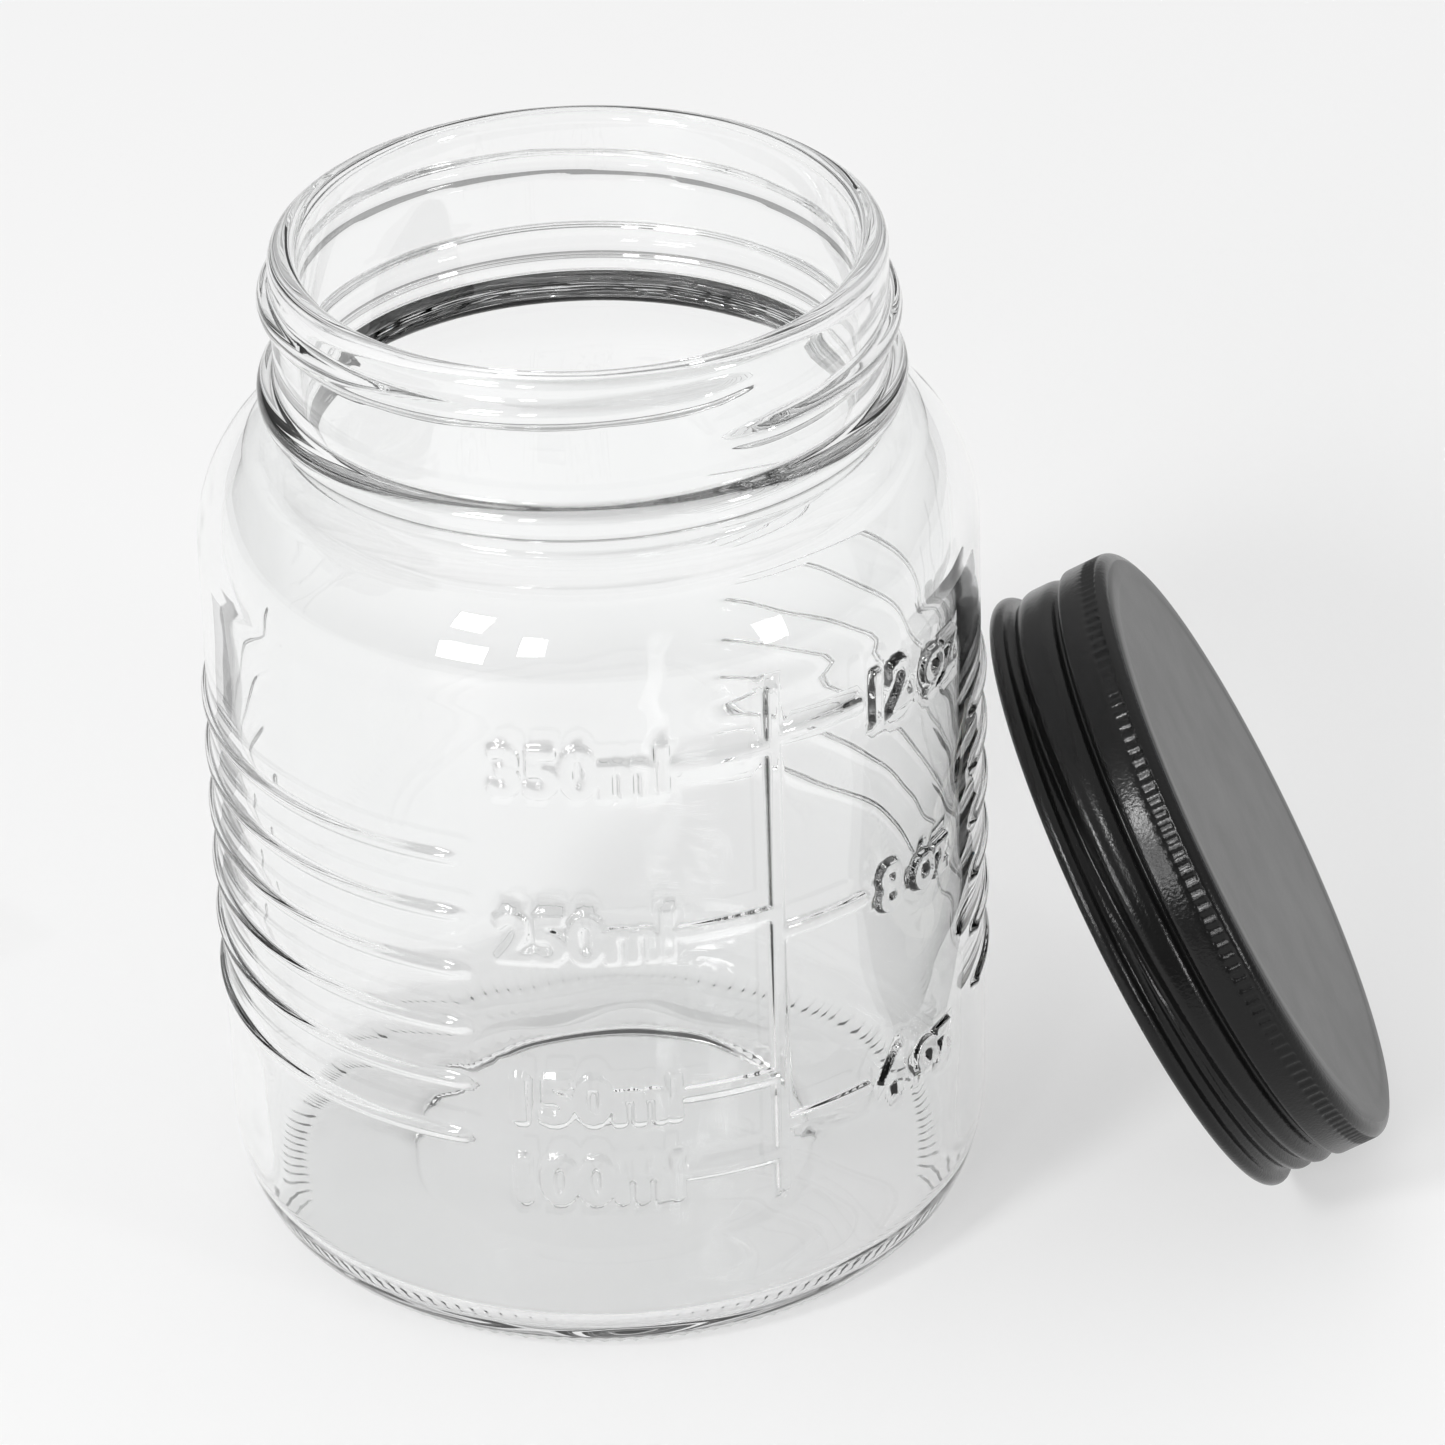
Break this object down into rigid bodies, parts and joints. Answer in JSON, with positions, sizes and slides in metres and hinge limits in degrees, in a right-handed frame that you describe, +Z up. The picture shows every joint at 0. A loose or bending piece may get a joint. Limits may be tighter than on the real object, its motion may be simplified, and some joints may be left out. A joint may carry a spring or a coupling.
{
  "type": "mason jar",
  "caption": "Clear glass screw-top storage jar with measuring marks and ribs, and its one-piece black metal lid leaning against it.",
  "frame": {"origin": "middle of the footprint of the jar and its leaning lid, on the table", "axes": "+Z up along the jar's axis, +X from the jar towards the leaning lid, -Y is the side with the measuring marks"},
  "size_m": [0.1318, 0.0852, 0.117],
  "materials": {
    "clear_glass": "clear, polished, with light mould ripple",
    "black_lacquer": "black lacquer, matte on the top face and satin on the skirt",
    "sealing_compound": "smooth, slightly soft sheen"
  },
  "bodies": {
    "jar": {"glass_jar": "clear_glass"},
    "lid": {"screw_lid": "black_lacquer", "lid_liner": "sealing_compound"}
  },
  "joints": [
    {"name": "lid_tip", "type": "hinge", "parent": "jar", "child": "lid", "pos_m": [0.0609, 0, 0.00541], "axis": [0, 1, 0], "range_deg": [0, 116.8]}
  ]
}
